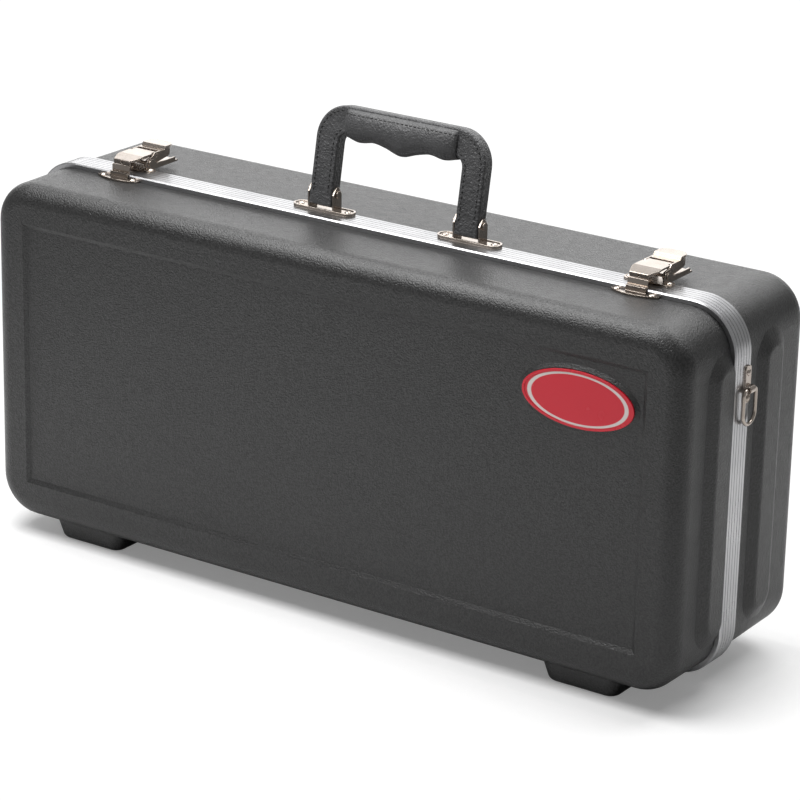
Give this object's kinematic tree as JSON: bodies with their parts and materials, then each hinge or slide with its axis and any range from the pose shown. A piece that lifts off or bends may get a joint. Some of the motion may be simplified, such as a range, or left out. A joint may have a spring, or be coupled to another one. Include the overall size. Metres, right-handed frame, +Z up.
{
  "type": "trumpet case",
  "caption": "Hard rectangular trumpet case with a hinged lid in an aluminium frame, draw latches, a padded carrying handle, strap rings and a fitted lining.",
  "frame": {"origin": "centre of the case's footprint, on the floor plane under the four moulded feet", "axes": "+X along the length, the badge towards +X; +Y to the back, the shallow lid half in front; +Z up, from the feet to the handle"},
  "size_m": [0.5572, 0.1556, 0.3275],
  "materials": {
    "black_abs": "vacuum-formed sheet with a fine pebble grain",
    "satin_aluminium": "satin anodised extrusion with fine ribs",
    "nickel_plate": "bright nickel plate",
    "steel_core": "plain strip",
    "covered_leatherette": "black grained covering",
    "padded_leatherette": "black grained covering over padding",
    "lining_plush": "short black plush over foam",
    "badge_enamel": "domed deep red"
  },
  "bodies": {
    "case_body": {"body_shell": "black_abs", "body_frame": "satin_aluminium", "body_lining": "lining_plush", "latch_rivets": "nickel_plate", "bracket_rivets": "nickel_plate", "ring_plate_rivets": "nickel_plate", "hinge_body_rivets": "nickel_plate", "latch_base_left": "nickel_plate", "lever_pin_left": "nickel_plate", "handle_bracket_left": "nickel_plate", "handle_pin_left": "nickel_plate", "hinge_body_leaf_left": "nickel_plate", "hinge_pin_left": "nickel_plate", "ring_plate_left": "nickel_plate", "latch_base_right": "nickel_plate", "lever_pin_right": "nickel_plate", "handle_bracket_right": "nickel_plate", "handle_pin_right": "nickel_plate", "hinge_body_leaf_right": "nickel_plate", "hinge_pin_right": "nickel_plate", "ring_plate_right": "nickel_plate"},
    "lid": {"lid_shell": "black_abs", "lid_frame": "satin_aluminium", "lid_lining": "lining_plush", "lid_badge": "badge_enamel", "keeper_rivets": "nickel_plate", "hinge_lid_rivets": "nickel_plate", "latch_keeper_left": "nickel_plate", "hinge_lid_leaf_left": "nickel_plate", "latch_keeper_right": "nickel_plate", "hinge_lid_leaf_right": "nickel_plate"},
    "handle": {"handle_cover": "covered_leatherette", "handle_core": "steel_core", "handle_grip": "padded_leatherette"},
    "latch_lever_left": {"latch_lever_left": "nickel_plate", "claw_pin_left": "nickel_plate"},
    "latch_claw_left": {"latch_claw_left": "nickel_plate"},
    "carry_ring_left": {"carry_ring_left": "nickel_plate"},
    "latch_lever_right": {"latch_lever_right": "nickel_plate", "claw_pin_right": "nickel_plate"},
    "latch_claw_right": {"latch_claw_right": "nickel_plate"},
    "carry_ring_right": {"carry_ring_right": "nickel_plate"}
  },
  "joints": [
    {"name": "lid_hinge", "type": "hinge", "parent": "case_body", "child": "lid", "pos_m": [0, -0.0135, 0.007], "axis": [1, 0, 0], "range_deg": [0, 140]},
    {"name": "handle_hinge", "type": "hinge", "parent": "case_body", "child": "handle", "pos_m": [0.0123, -0.0071, 0.2685], "axis": [1, 0, 0], "range_deg": [-84, 104]},
    {"name": "latch_lever_left", "type": "hinge", "parent": "case_body", "child": "latch_lever_left", "pos_m": [-0.202, -0.005, 0.261], "axis": [1, 0, 0], "range_deg": [0, 100]},
    {"name": "latch_claw_left", "type": "hinge", "parent": "latch_lever_left", "child": "latch_claw_left", "pos_m": [-0.202, 0.004, 0.2646], "axis": [1, 0, 0], "range_deg": [-115, 0]},
    {"name": "carry_ring_left", "type": "hinge", "parent": "case_body", "child": "carry_ring_left", "pos_m": [-0.27605, -0.0081, 0.202], "axis": [0, 1, 0], "range_deg": [0, 150]},
    {"name": "latch_lever_right", "type": "hinge", "parent": "case_body", "child": "latch_lever_right", "pos_m": [0.202, -0.005, 0.261], "axis": [1, 0, 0], "range_deg": [0, 100]},
    {"name": "latch_claw_right", "type": "hinge", "parent": "latch_lever_right", "child": "latch_claw_right", "pos_m": [0.202, 0.004, 0.2646], "axis": [1, 0, 0], "range_deg": [-115, 0]},
    {"name": "carry_ring_right", "type": "hinge", "parent": "case_body", "child": "carry_ring_right", "pos_m": [0.27605, -0.0081, 0.202], "axis": [0, -1, 0], "range_deg": [0, 150]}
  ],
  "couplings": [
    {"joint": "latch_claw_left", "follows": "latch_lever_left", "ratio": -1.15},
    {"joint": "latch_claw_right", "follows": "latch_lever_right", "ratio": -1.15}
  ]
}
